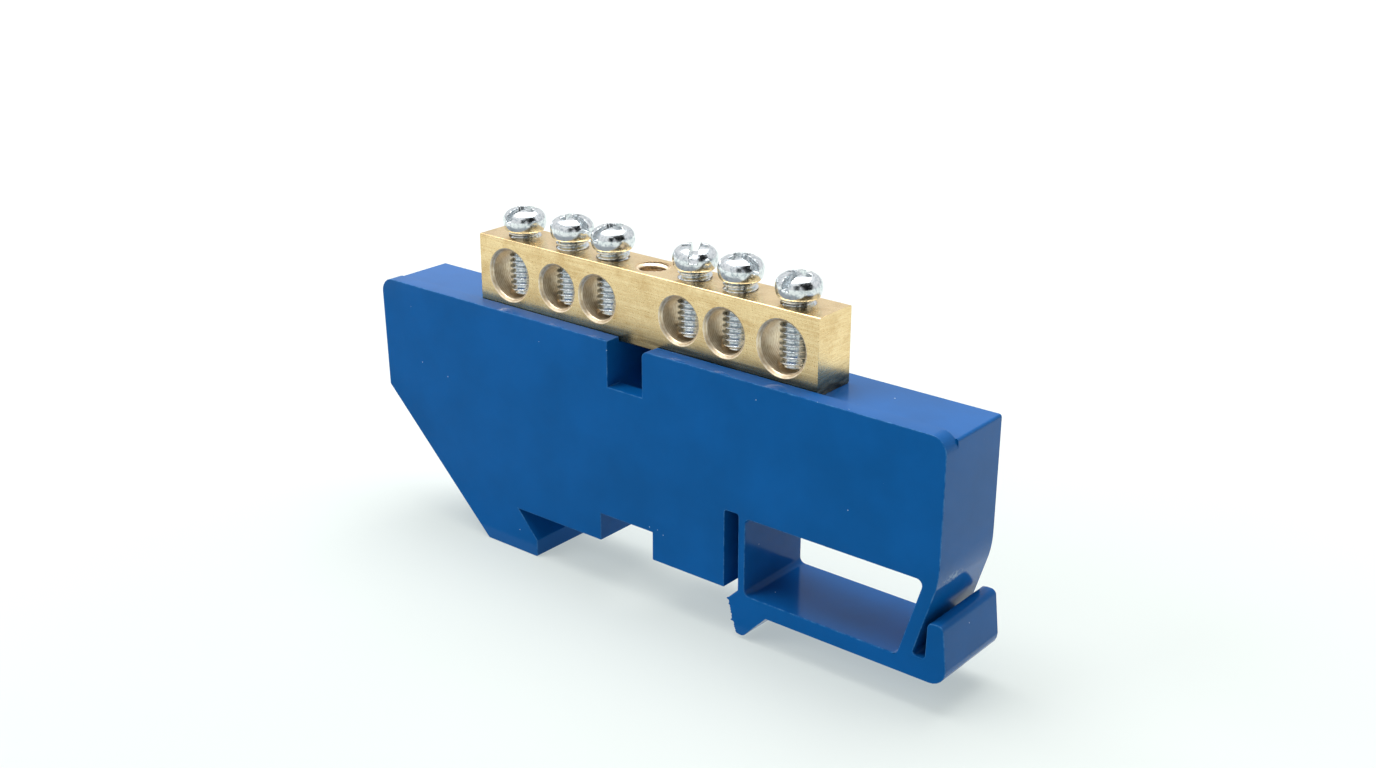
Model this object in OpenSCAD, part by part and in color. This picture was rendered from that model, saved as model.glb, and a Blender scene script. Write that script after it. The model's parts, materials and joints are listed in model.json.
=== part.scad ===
// Earth or neutral terminal bar: a brass bar with six wire ports and six
// clamping screws, carried by a one-piece moulded holder that snaps onto a
// 35 mm top-hat rail. Drawn in rail coordinates (x from the root of the fixed
// hook, y from the front face, z from the rail seat), then set down with the
// middle of the foot at the origin.

/* [Rail] */
// Width of the top-hat rail over its flanges
rail_w = 35; // [30:0.5:40]
// Thickness of the rail flange
rail_t = 1.0; // [0.8:0.1:1.5]
// Play between the rail and the holder
rail_play = 0.07; // [0.05:0.01:0.3]

/* [Holder body] */
// Height of the bar's seat above the rail seat
seat_h = 25.3; // [20:0.1:32]
// Height of the front plate above the bar's seat
plate_rise = 0.7; // [0.3:0.1:1.5]
// Thickness of the front plate
plate_t = 2.2; // [1.5:0.1:3]
// Depth of the holder, front to back
depth = 11; // [9.5:0.1:16]
// Thickness of the outer walls
wall = 1.8; // [1.2:0.1:2.4]
// Thickness of the inner ribs
rib_t = 1.4; // [1:0.1:2]
// How far the ribs stop short of the open back
rib_set_back = 0.6; // [0:0.1:2]
// Reach of the body to the left of the hook's root
body_left = 23.6; // [20:0.1:30]
// How far the left side leans in on its way down
left_lean = 0.4; // [0:0.1:2]
// Height at which the left side turns into the slope
slope_h = 11.3; // [8:0.1:14]
// Reach of the body past the rail's far edge
body_right = 26.2; // [24:0.1:32]
// Corner radius of the front plate's top
plate_r = 1.9; // [0.5:0.1:3]
// Distance from the pocket's centre line to the inner rib on each side
rib_reach = 10; // [8:0.1:12]
// Radius of the moulding's small corners
edge_r = 0.3; // [0.1:0.05:0.5]

/* [Rail hook] */
// Drop of the hook below the rail seat
hook_drop = 5.8; // [4.5:0.1:8]
// Reach of the hook under the rail
hook_reach = 3.15; // [2:0.05:5]
// Height of the hook's blunt nose
hook_nose = 2.3; // [1.5:0.1:3]
// Reach of the hook's foot to the left of its root
hook_heel = 5.6; // [3:0.1:8]

/* [Screw pocket] */
// Centre line of the pocket, recess and bar, from the hook's root
middle_x = 18.2; // [16.5:0.1:19.5]
// Width of the pocket behind the notch in the front plate
pocket_w = 5.3; // [4.5:0.1:6.5]
// Depth of the notch below the front plate's top
notch_h = 5.7; // [4:0.1:7]
// Depth of the pocket, front to back
pocket_d = 8; // [6.5:0.1:8.5]
// Length of the pocket's walls below the bar's seat
pocket_h = 8.3; // [7:0.1:10]
// Width of the recess in the rail seat
recess_w = 8.2; // [6:0.1:10]
// Height of the recess in the rail seat
recess_h = 3.6; // [2:0.1:5]
// Diameter of the driver hole in the recess
driver_d = 6; // [5:0.1:7]

/* [Spring foot] */
// Width of the slot between the body and the spring leg
slot_w = 2.0; // [1.2:0.1:2.5]
// Height of that slot above the rail seat
slot_h = 9.8; // [9:0.1:11]
// Thickness of the spring leg
leg_t = 0.95; // [0.6:0.05:1.2]
// Height of the window's top above the rail seat
window_h = 9.55; // [8:0.05:10]
// Thickness of the strip along the foot
strip_t = 2.0; // [1.5:0.1:2.5]
// Drop of the strip's top below the rail seat
strip_drop = 0.1; // [0:0.05:0.5]
// Length of the window along the strip
window_l = 20.5; // [16:0.1:22]
// Thickness of the slanted leg, measured level
slant_t = 1.6; // [1.2:0.1:2]
// Lean of the slanted leg, sideways for each millimetre up
slant_lean = 0.30; // [0.2:0.01:0.35]
// Reach of the snap tooth under the rail
tooth_reach = 1.35; // [0.8:0.05:1.6]
// Drop of the snap tooth's tip to its rounded nose
tooth_drop = 4.3; // [3:0.1:4.6]
// Radius of the tooth's nose
tooth_r = 0.8; // [0.4:0.05:1]
// Height of the tooth's upper ramp
tooth_ramp = 1.3; // [1:0.1:2]
// Length of the tooth's lower ramp, from the spring leg to the strip
tooth_tail = 4; // [3:0.1:5]
// Width of the slot behind the release lever
lever_gap = 1.25; // [0.9:0.05:1.6]
// Thickness of the release lever at its root
lever_t = 2.65; // [2.2:0.05:3.2]
// Height of the release lever above the rail seat
lever_h = 5.0; // [3.5:0.1:6]

/* [Terminal bar] */
// Distance from an end port's axis to the bar's end
bar_end = 4.9; // [4:0.1:7]
// Width of the bar, front to back
bar_w = 6; // [5.6:0.1:7]
// Height of the bar
bar_h = 9; // [8:0.1:11]
// Edge radius of the drawn bar
bar_edge = 0.25; // [0.1:0.05:0.5]
// Play between the bar and the front plate
bar_play = 0.1; // [0.05:0.05:0.3]
// Distance from the centre hole to the first port
pitch_first = 6.2; // [6:0.05:7]
// Distance between the two small ports of a side
pitch_small = 6.5; // [6.2:0.05:7]
// Distance from a small port to the large end port
pitch_large = 7.9; // [7.2:0.05:8.2]
// Diameter of the four inner wire ports
port_small = 5.2; // [4.4:0.1:5.4]
// Diameter of the two end wire ports
port_large = 6.0; // [5:0.1:6.4]
// Chamfer round each wire port
port_chamfer = 0.38; // [0.1:0.02:0.5]
// How far the tapping drill runs past the floor of a wire port
drill_past = 0.15; // [0.05:0.05:0.5]
// Diameter of the studs that hold the bar
stud_d = 1.9; // [1.4:0.1:2.4]
// Height of those studs
stud_h = 1.3; // [0.8:0.1:1.5]
// Radial play of a stud in its hole
stud_play = 0.03; // [0.01:0.01:0.1]
// Depth left over the end of a stud
stud_gap = 0.3; // [0.1:0.1:0.5]

/* [Terminal screws] */
// Thread diameter of the screws
thread_d = 4; // [3.5:0.1:4.2]
// Radial clearance of a thread in its hole
thread_play = 0.05; // [0.02:0.01:0.08]
// Length of a screw below its head
screw_l = 8; // [7.5:0.1:11]
// Gap between a screw's tip and the floor of its port
tip_gap = 0.2; // [0.1:0.05:0.4]
// Chamfer at the tip of a screw
tip_chamfer = 0.45; // [0.2:0.05:0.7]
// Largest diameter of the barrel-shaped head
head_d = 5.25; // [4.8:0.05:5.8]
// Diameter of the head's seat
head_seat_d = 4.3; // [4.2:0.05:4.7]
// Height of the head
head_h = 2.7; // [2.2:0.1:3]
// Width of the driver slot
slot_cut_w = 1.0; // [0.7:0.05:1.2]
// Depth of the driver slot
slot_cut_h = 1.5; // [0.8:0.05:1.6]
// Length of the cross recess over its wings
cross_l = 3.1; // [2.4:0.1:3.6]
// Depth of the cross recess
cross_h = 1.7; // [1.2:0.1:1.9]

/* [Hidden] */
$fn = 48;
eps = 0.01;
arc_steps = 6;

HOLDER_BLUE = [0.10, 0.36, 0.62];
BRASS = [0.80, 0.66, 0.36];
ZINC = [0.78, 0.81, 0.84];

// Holder levels and places in rail coordinates
plate_top = seat_h + plate_rise;
notch_floor = plate_top - notch_h;
notch_r = 0.8;
bend_r = 12;
inner_r = 0.7;
leg_x = rail_w + rail_play;
body_end = rail_w + body_right;
block_end = leg_x - slot_w;
window_x = leg_x + leg_t;
strip_top = -strip_drop;
strip_bottom = strip_top - strip_t;
slant_x = window_x + window_l;
lever_x = slant_x + slant_t + slant_lean * strip_t + lever_gap;
lever_end = lever_x + lever_t;
lever_tilt = 0.6;
tooth_z = -rail_t - rail_play;
slope_run = (body_left - left_lean - hook_heel) / (slope_h + hook_drop);
slope_foot_x = -body_left + left_lean + slope_h * slope_run;
rib_left = middle_x - rib_reach;
rib_right = middle_x + rib_reach;
rib_places = [(rib_left - body_left) / 2, rib_left, rib_right, (rib_right + body_end) / 2];

// Bar and port places
bar_y = plate_t + bar_play;
axis_y = bar_y + bar_w / 2;
bar_top = seat_h + bar_h;
port_z = seat_h + bar_h / 2;
thread_r = thread_d / 2;
tapped_r = thread_r + thread_play;
port_steps = [pitch_first, pitch_first + pitch_small, pitch_first + pitch_small + pitch_large];
port_x = [for (side = [-1, 1], k = side < 0 ? [2:-1:0] : [0:2]) middle_x + side * port_steps[k]];
port_d = [port_large, port_small, port_small, port_small, port_small, port_large];
bar_l = 2 * (port_steps[2] + bar_end);
stud_x = pitch_first + pitch_small + pitch_large / 2;

// How far each screw head is turned, in degrees
head_turn = [100, 175, 80, 122, 170, 110];

// The frame: middle of the foot at the origin
frame_shift = [(body_left - lever_end) / 2, -depth / 2, hook_drop];

// ---- outline helpers ----

function unit(v) = v / norm(v);
function turn_left(v) = [-v[1], v[0]];
function xy(p) = [p[0], p[1]];
function at(list, i) = list[(i + len(list)) % len(list)];
function cross2(a, b) = a[0] * b[1] - a[1] * b[0];

// Where the line from p along u meets the line from q along v
function meet(p, u, q, v) = p + u * cross2(q - p, v) / cross2(u, v);

// A corner [x, z, radius] of a path, as the points of its arc
function corner(a, b, c) =
    let (u = unit(xy(a) - xy(b)), v = unit(xy(c) - xy(b)),
         half = acos(max(-1, min(1, u * v))) / 2,
         centre = xy(b) + unit(u + v) * b[2] / sin(half),
         start = xy(b) + u * b[2] / tan(half) - centre,
         sweep = sign(cross2(u, v)) * (180 - 2 * half))
    b[2] <= 0 ? [xy(b)] :
    [for (k = [0:arc_steps]) let (t = -sweep * k / arc_steps)
        centre + [start[0] * cos(t) - start[1] * sin(t), start[0] * sin(t) + start[1] * cos(t)]];

// A closed path with each corner rounded by its own radius
function rounded(path) =
    [for (i = [0:len(path) - 1], p = corner(at(path, i - 1), path[i], at(path, i + 1))) p];

// An anticlockwise outline moved inwards by d all round
function inset(path, d) =
    [for (i = [0:len(path) - 1])
        let (a = at(path, i - 1), b = path[i], c = at(path, i + 1), u = unit(b - a), v = unit(c - b))
        meet(a + turn_left(u) * d, u, b + turn_left(v) * d, v)];

// ---- holder ----

// Outer edge of the holder, anticlockwise from the seat's left end
function holder_path(top, top_r) = [
    [-body_left, top, top_r],
    [-body_left + left_lean, slope_h, edge_r],
    [-hook_heel, -hook_drop, edge_r],
    [hook_reach, -hook_drop, edge_r],
    [hook_reach, -hook_drop + hook_nose, edge_r],
    [0, 0, 0],
    [middle_x - recess_w / 2, 0, 0],
    [middle_x - recess_w / 2, recess_h, 0],
    [middle_x + recess_w / 2, recess_h, 0],
    [middle_x + recess_w / 2, 0, 0],
    [block_end, 0, 0],
    [block_end, slot_h, edge_r],
    [leg_x, slot_h, edge_r],
    [leg_x, tooth_z + tooth_ramp, 0],
    [leg_x - tooth_reach, tooth_z, edge_r / 2],
    [leg_x + edge_r / 2, tooth_z - tooth_drop - tooth_r, tooth_r],
    [leg_x + tooth_tail, strip_bottom, edge_r],
    [lever_end, strip_bottom, strip_t - strip_drop / 2],
    [lever_end, strip_top, 0],
    [lever_end - lever_tilt, lever_h, inner_r],
    [lever_x + lever_tilt, lever_h, inner_r],
    [lever_x, strip_top + lever_tilt, lever_gap / 2 - edge_r / 2],
    [lever_x - lever_gap, strip_top + lever_tilt, lever_gap / 2 - edge_r / 2],
    [body_end, slant_height(body_end), bend_r],
    [body_end, top, top_r],
];

// Height at which the slanted leg's outer side reaches x
function slant_height(x) = strip_top + (x - slant_x - slant_t) / slant_lean;

function window_path() = [
    [window_x, window_h, inner_r],
    [window_x, strip_top, inner_r],
    [slant_x, strip_top, inner_r],
    [slant_x + slant_lean * (window_h - strip_top), window_h, inner_r],
];

// Outline of the hollow body, without the hook and the spring foot
function shell_path() = [
    [-body_left, seat_h],
    [-body_left + left_lean, slope_h],
    [slope_foot_x, 0],
    [middle_x - recess_w / 2, 0],
    [middle_x - recess_w / 2, recess_h],
    [middle_x + recess_w / 2, recess_h],
    [middle_x + recess_w / 2, 0],
    [block_end, 0],
    [block_end, window_h],
    [body_end, window_h],
    [body_end, seat_h],
];

// Raises a drawing in x and z into a slice of the depth, from y0 to y1
module slice(y0, y1) {
    translate([0, y1, 0]) rotate([90, 0, 0]) linear_extrude(y1 - y0) children();
}

module holder_profile(top, top_r) {
    difference() {
        polygon(rounded(holder_path(top, top_r)));
        polygon(rounded(window_path()));
    }
}

// The hollow, less its ribs and the walls of the screw pocket
module hollow() {
    difference() {
        slice(plate_t, depth + eps) polygon(inset(shell_path(), wall));
        for (x = rib_places) rib(x);
        pocket_walls();
    }
}

module rib(x) {
    translate([x - rib_t / 2, plate_t - eps, -hook_drop])
        cube([rib_t, depth - rib_set_back - plate_t + eps, seat_h + hook_drop]);
}

// Three walls that hang from the deck round the screw pocket
module pocket_walls() {
    outer_w = pocket_w + 2 * rib_t;
    translate([middle_x - outer_w / 2, plate_t - eps, seat_h - pocket_h])
        cube([outer_w, pocket_d + rib_t - plate_t + eps, pocket_h]);
}

// The notch in the front plate and the pocket behind it, open below
module pocket() {
    translate([middle_x - pocket_w / 2, -eps, notch_floor])
        cube([pocket_w, pocket_d + eps, notch_h + eps]);
    translate([middle_x - pocket_w / 2, plate_t, seat_h - pocket_h - eps])
        cube([pocket_w, pocket_d - plate_t, pocket_h]);
    // rounded lead-in at the right-hand corner of the notch
    translate([middle_x + pocket_w / 2 - eps, 0, plate_top - notch_r])
        slice(-eps, plate_t + eps) difference() {
            square([notch_r + eps, notch_r + eps]);
            translate([notch_r + eps, 0]) circle(notch_r);
        }
}

module driver_hole() {
    translate([middle_x, axis_y, recess_h - eps]) cylinder(d = driver_d, h = wall + 2 * eps);
}

module studs(r, h) {
    for (side = [-1, 1])
        translate([middle_x + side * stud_x, axis_y, seat_h - eps]) cylinder(r = r, h = h + eps);
}

module holder_body() {
    difference() {
        union() {
            slice(0, plate_t) holder_profile(plate_top, plate_r);
            slice(plate_t - eps, depth) holder_profile(seat_h, 0);
        }
        hollow();
        pocket();
        driver_hole();
    }
    studs(stud_d / 2, stud_h);
}

// ---- terminal bar ----

module port(x, d) {
    translate([x, bar_y, port_z]) rotate([-90, 0, 0]) {
        translate([0, 0, -eps]) cylinder(d = d, h = bar_w + 2 * eps);
        translate([0, 0, -eps])
            cylinder(r1 = d / 2 + port_chamfer + eps, r2 = d / 2, h = port_chamfer + eps);
        translate([0, 0, bar_w - port_chamfer])
            cylinder(r1 = d / 2, r2 = d / 2 + port_chamfer + eps, h = port_chamfer + eps);
    }
}

// A tapped hole drawn at its clearance bore, from the bar's top down to z0
module tapped_hole(x, z0) {
    translate([x, axis_y, z0]) cylinder(r = tapped_r, h = bar_top - z0 + eps);
}

module drawn_bar() {
    path = [[0, 0, bar_edge], [bar_w, 0, bar_edge], [bar_w, bar_h, bar_edge], [0, bar_h, bar_edge]];
    translate([middle_x - bar_l / 2, bar_y, seat_h])
        rotate([90, 0, 90]) linear_extrude(bar_l) polygon(rounded(path));
}

module bar() {
    difference() {
        drawn_bar();
        for (i = [0:5]) {
            port(port_x[i], port_d[i]);
            tapped_hole(port_x[i], port_z - port_d[i] / 2 - drill_past);
        }
        tapped_hole(middle_x, seat_h - eps);
        studs(stud_d / 2 + stud_play, stud_h + stud_gap);
    }
}

// ---- terminal screw ----

// Half outline of the head: a barrel side that rolls over into a low dome
function head_path() =
    let (seat_r = head_seat_d / 2, big_r = head_d / 2, waist = 0.45 * head_h, steps = 6)
    concat([[0, 0]],
        [for (k = [0:2]) let (t = 90 * k / 2)
            [seat_r + (big_r - seat_r) * sin(t), waist * (1 - cos(t))]],
        [for (k = [1:steps]) let (t = 90 * k / steps)
            [big_r * pow(cos(t), 0.62), waist + (head_h - waist) * pow(sin(t), 0.95)]]);

module head_recess() {
    translate([-head_d / 2, -slot_cut_w / 2, head_h - slot_cut_h]) cube([head_d, slot_cut_w, head_h]);
    intersection() {
        translate([0, 0, head_h - cross_h])
            cylinder(d1 = cross_l * 0.55, d2 = cross_l, h = cross_h + eps);
        union() {
            translate([-cross_l / 2, -slot_cut_w / 2, 0]) cube([cross_l, slot_cut_w, 2 * head_h]);
            translate([-slot_cut_w / 2, -cross_l / 2, 0]) cube([slot_cut_w, cross_l, 2 * head_h]);
        }
    }
}

module screw(i) {
    under_head = port_z - port_d[i] / 2 + tip_gap + screw_l;
    translate([port_x[i], axis_y, under_head]) rotate([0, 0, head_turn[i]]) {
        difference() {
            rotate_extrude() polygon(head_path());
            head_recess();
        }
        translate([0, 0, tip_chamfer - screw_l]) cylinder(r = thread_r, h = screw_l - tip_chamfer + eps);
        translate([0, 0, -screw_l])
            cylinder(r1 = thread_r - tip_chamfer, r2 = thread_r, h = tip_chamfer + eps);
    }
}

// ---- nodes ----

module holder() { color(HOLDER_BLUE) translate(frame_shift) holder_body(); }
module terminal_bar() { color(BRASS) translate(frame_shift) bar(); }
module terminal_screw(i) { color(ZINC) translate(frame_shift) screw(i); }

holder();
terminal_bar();
terminal_screw(0);  // terminal_screw_1
terminal_screw(1);  // terminal_screw_2
terminal_screw(2);  // terminal_screw_3
terminal_screw(3);  // terminal_screw_4
terminal_screw(4);  // terminal_screw_5
terminal_screw(5);  // terminal_screw_6
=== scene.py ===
"""Rail-mounted terminal bar: a brass bar, six clamping screws and a moulded snap-on holder.

Lengths are in metres, except where a name ends in _mm. Angles are in radians, except in _deg.
"""

import json
import logging
import math
import random
from collections.abc import Iterator
from contextlib import contextmanager
from dataclasses import dataclass
from enum import Enum

import bmesh
import bpy
from mathutils import Matrix, Vector
from mathutils.bvhtree import BVHTree


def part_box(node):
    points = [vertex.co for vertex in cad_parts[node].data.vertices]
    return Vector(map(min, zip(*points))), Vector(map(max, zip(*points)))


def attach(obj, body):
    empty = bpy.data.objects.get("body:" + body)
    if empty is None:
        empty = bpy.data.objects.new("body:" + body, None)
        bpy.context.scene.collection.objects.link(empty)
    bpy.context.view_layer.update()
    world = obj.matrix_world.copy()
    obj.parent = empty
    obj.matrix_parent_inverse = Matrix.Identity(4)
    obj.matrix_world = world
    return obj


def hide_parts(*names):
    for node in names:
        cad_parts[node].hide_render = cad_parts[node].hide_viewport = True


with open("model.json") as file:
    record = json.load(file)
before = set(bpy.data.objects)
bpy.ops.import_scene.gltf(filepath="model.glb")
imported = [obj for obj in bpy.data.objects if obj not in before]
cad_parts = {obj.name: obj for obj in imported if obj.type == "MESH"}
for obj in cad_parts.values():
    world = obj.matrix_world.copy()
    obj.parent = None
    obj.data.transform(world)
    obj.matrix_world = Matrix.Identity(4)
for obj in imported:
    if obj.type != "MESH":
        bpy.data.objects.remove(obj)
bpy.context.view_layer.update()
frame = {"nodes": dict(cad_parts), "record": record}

LOG = logging.getLogger("terminal_bar")
MM = 0.001
MERGE = 1e-6
TOUCH = 0.02 * MM  # two levels that are closer than this are one
FLAT_DEG = 0.6  # faces that meet at less than this are one flat face
STRAY_SHARE = 0.6  # a bevelled corner stays within this share of the bevel's width

BMesh = bmesh.types.BMesh
Ring = list[bmesh.types.BMVert]
Mesh = bpy.types.Mesh
Node = bpy.types.Node
Piece = bpy.types.Object
Skin = bpy.types.Material
Socket = bpy.types.NodeSocket
Sockets = bpy.types.NodeOutputs
Tree = bpy.types.NodeTree
Pair = tuple[float, float]
Point = tuple[float, float, float]


class Recess(Enum):
    """The driver recesses that a screw head can have."""

    SLOT = "slot"
    SLOT_AND_CROSS = "slot and cross"


# ---- nodes ----


def linear(colour: str) -> tuple[float, float, float, float]:
    """Turns an sRGB hex colour into linear RGBA.

    Args:
        colour: the colour as "#rrggbb".

    Returns:
        Red, green, blue and alpha for a colour socket.
    """
    channels = [int(colour[i : i + 2], 16) / 255 for i in (1, 3, 5)]
    return (*(c / 12.92 if c <= 0.04045 else ((c + 0.055) / 1.055) ** 2.4 for c in channels), 1.0)


def per_mm(size_mm: float) -> float:
    """Returns the texture scale whose features are about size_mm wide."""
    return 1.0 / (size_mm * MM)


def feed(tree: Tree, node: Node, inputs: dict[str | int, object]) -> None:
    """Sets a node's inputs, or links them to other nodes.

    Args:
        tree: the tree that holds the node.
        node: the node.
        inputs: socket name or index to a value, or to the socket that feeds it.
    """
    for key, value in inputs.items():
        if isinstance(value, Socket):
            tree.links.new(value, node.inputs[key])
        else:
            node.inputs[key].default_value = value


def add_node(
    tree: Tree, kind: str, inputs: dict[str | int, object] | None = None, **settings: object
) -> Sockets:
    """Adds one node with its settings and links.

    Args:
        tree: the node tree to add to.
        kind: the node's type; for a shader node, what follows "ShaderNode".
        inputs: socket name or index to a value, or to the socket that feeds it.
        **settings: attributes set on the node before its sockets.

    Returns:
        The new node's outputs.
    """
    node = tree.nodes.new(kind if "Node" in kind else f"ShaderNode{kind}")
    for name, value in settings.items():
        setattr(node, name, value)
    feed(tree, node, inputs or {})
    return node.outputs


def new_material(name: str) -> tuple[Skin, Tree, Node]:
    """Makes an empty node material with a Principled shader.

    Args:
        name: the material's name.

    Returns:
        The material, its tree and its Principled node.
    """
    material = bpy.data.materials.new(name)
    material.use_nodes = True
    tree = material.node_tree
    tree.nodes.clear()
    shader = add_node(tree, "BsdfPrincipled")[0]
    add_node(tree, "OutputMaterial", {"Surface": shader})
    return material, tree, shader.node


def coated(tree: Tree, ground: str, *coats: tuple[Socket, str]) -> Socket:
    """Lays colours over a ground colour, one after the other.

    Args:
        tree: the material's tree.
        ground: the lowest colour.
        *coats: each coat's mask and colour.

    Returns:
        The colour of the whole.
    """
    colour = linear(ground)
    for mask, coat in coats:
        mix = add_node(tree, "Mix", {0: mask, 6: colour, 7: linear(coat)}, data_type="RGBA")
        colour = mix[2]
    return colour


@dataclass(frozen=True)
class Blotches:
    """Irregular marks: a noise with features of a real size, cut off below low and above high."""

    size_mm: float
    low: float
    high: float
    least: float = 0.0
    most: float = 1.0
    detail: float = 5.0
    roughness: float = 0.5

    def mask(self, tree: Tree, place: Socket) -> Socket:
        """Adds the marks to a material.

        Args:
            tree: the material's tree.
            place: the coordinates that the marks lie in.

        Returns:
            The marks' mask.
        """
        noise = add_node(tree, "TexNoise", {
            "Vector": place, "Scale": per_mm(self.size_mm), "Detail": self.detail,
            "Roughness": self.roughness,
        })
        return add_node(tree, "MapRange", {
            "Value": noise["Fac"], "From Min": self.low, "From Max": self.high,
            "To Min": self.least, "To Max": self.most,
        })[0]


# ---- meshes ----


def object_from(mesh: Mesh, name: str) -> Piece:
    """Links a mesh to the scene as an object at the origin.

    Args:
        mesh: the mesh.
        name: the object's name.

    Returns:
        The object.
    """
    obj = bpy.data.objects.new(name, mesh)
    bpy.context.scene.collection.objects.link(obj)
    return obj


def object_from_bmesh(bm: BMesh, name: str, *skins: Skin) -> Piece:
    """Turns a bmesh into a linked object and frees it.

    Args:
        bm: the bmesh.
        name: the object's name.
        *skins: its materials.

    Returns:
        The object.
    """
    mesh = bpy.data.meshes.new(name)
    bm.to_mesh(mesh)
    bm.free()
    for skin in skins:
        mesh.materials.append(skin)
    return object_from(mesh, name)


@contextmanager
def editing(mesh: Mesh) -> Iterator[BMesh]:
    """Opens a mesh for changes and writes them back at the end of the block.

    Args:
        mesh: the mesh.

    Yields:
        The bmesh to change.
    """
    bm = bmesh.new()
    bm.from_mesh(mesh)
    yield bm
    bm.to_mesh(mesh)
    bm.free()


def ring(bm: BMesh, r: float, z: float, sides: int, x: float = 0.0, y: float = 0.0) -> Ring:
    """Adds one ring of vertices round an upright axis.

    Args:
        bm: the bmesh to add to.
        r: the ring's radius.
        z: its height.
        sides: its number of vertices.
        x: the axis's place across.
        y: the axis's place from front to back.

    Returns:
        The vertices in order.
    """
    turns = [math.tau * k / sides for k in range(sides)]
    return [bm.verts.new((x + r * math.cos(t), y + r * math.sin(t), z)) for t in turns]


def join_rings(bm: BMesh, rings: list[Ring]) -> None:
    """Walls in the gap between each ring of vertices and the next.

    Args:
        bm: the bmesh that holds the rings.
        rings: rings with equal numbers of vertices.
    """
    for one, two in zip(rings, rings[1:]):
        for k in range(len(one)):
            n = (k + 1) % len(one)
            bm.faces.new((one[k], one[n], two[n], two[k]))


def finished(obj: Piece) -> Piece:
    """Applies all modifiers of an object by way of its evaluated mesh.

    Args:
        obj: the object, at the origin.

    Returns:
        The same object with a plain mesh and no modifiers.
    """
    bpy.context.view_layer.update()
    evaluated = obj.evaluated_get(bpy.context.evaluated_depsgraph_get())
    mesh = bpy.data.meshes.new_from_object(evaluated)
    obj.modifiers.clear()
    obj.data = mesh
    return obj


def merged_copy(node: str, name: str) -> Piece:
    """Copies a CAD node with its loose triangles merged into clean faces.

    Args:
        node: the CAD node's name.
        name: the new piece's name.

    Returns:
        The new object, without materials.
    """
    mesh = frame["nodes"][node].data.copy()
    mesh.name = name
    mesh.materials.clear()
    for layer in ("custom_normal", "sharp_edge", "sharp_face"):
        if layer in mesh.attributes:
            mesh.attributes.remove(mesh.attributes[layer])
    with editing(mesh) as bm:
        bmesh.ops.remove_doubles(bm, verts=bm.verts, dist=MERGE)
        flat = math.radians(FLAT_DEG)
        bmesh.ops.dissolve_limit(bm, angle_limit=flat, verts=bm.verts, edges=bm.edges)
        bmesh.ops.recalc_face_normals(bm, faces=bm.faces)
    return object_from(mesh, name)


def smooth(obj: Piece, angle_deg: float) -> None:
    """Shades a piece smoothly, but for edges sharper than this angle."""
    obj.data.shade_smooth()
    obj.data.set_sharp_from_angle(angle=math.radians(angle_deg))


def soften(
    obj: Piece, width: float, angle_deg: float, segments: int = 2, edge_skin: int = -1
) -> Piece:
    """Breaks the sharp edges of a piece and shades it smoothly.

    Args:
        obj: the piece.
        width: the width of the broken edge.
        angle_deg: only edges sharper than this are broken, unless the mesh has bevel weights.
        segments: the number of faces across the edge.
        edge_skin: the material index of the broken edges; -1 gives them their neighbours' one.

    Returns:
        The piece with a plain mesh.
    """
    bevel = obj.modifiers.new("edge_break", "BEVEL")
    bevel.width = width
    bevel.segments = segments
    bevel.limit_method = "WEIGHT" if "bevel_weight_edge" in obj.data.attributes else "ANGLE"
    bevel.angle_limit = math.radians(angle_deg)
    bevel.use_clamp_overlap = False
    bevel.material = edge_skin
    sharp = bmesh.new()
    sharp.from_mesh(obj.data)
    surface = BVHTree.FromBMesh(sharp)
    sharp.free()
    finished(obj)
    # where broken edges meet in a crevice a corner can shoot out: it goes back onto the surface
    for vertex in obj.data.vertices:
        nearest, _, _, away = surface.find_nearest(vertex.co)
        if away > STRAY_SHARE * width:
            vertex.co = nearest
    smooth(obj, angle_deg)
    # flat faces keep their own normal, so that only the broken edges look round
    weighted = obj.modifiers.new("flat_faces", "WEIGHTED_NORMAL")
    weighted.mode = "FACE_AREA"
    weighted.keep_sharp = True
    return finished(obj)


def put_on(obj: Piece, body: str, slot: str, *nodes: str) -> None:
    """Rides a piece on its CAD body and reports it.

    Args:
        obj: the finished piece.
        body: the CAD body that it moves with.
        slot: the record's material slot; not used.
        *nodes: the CAD nodes that it stands for.
    """
    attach(obj, body)
    if nodes:
        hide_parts(*nodes)
    LOG.info("%s rides on %s with %d faces", obj.name, body, len(obj.data.polygons))


# ---- finishes ----


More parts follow.
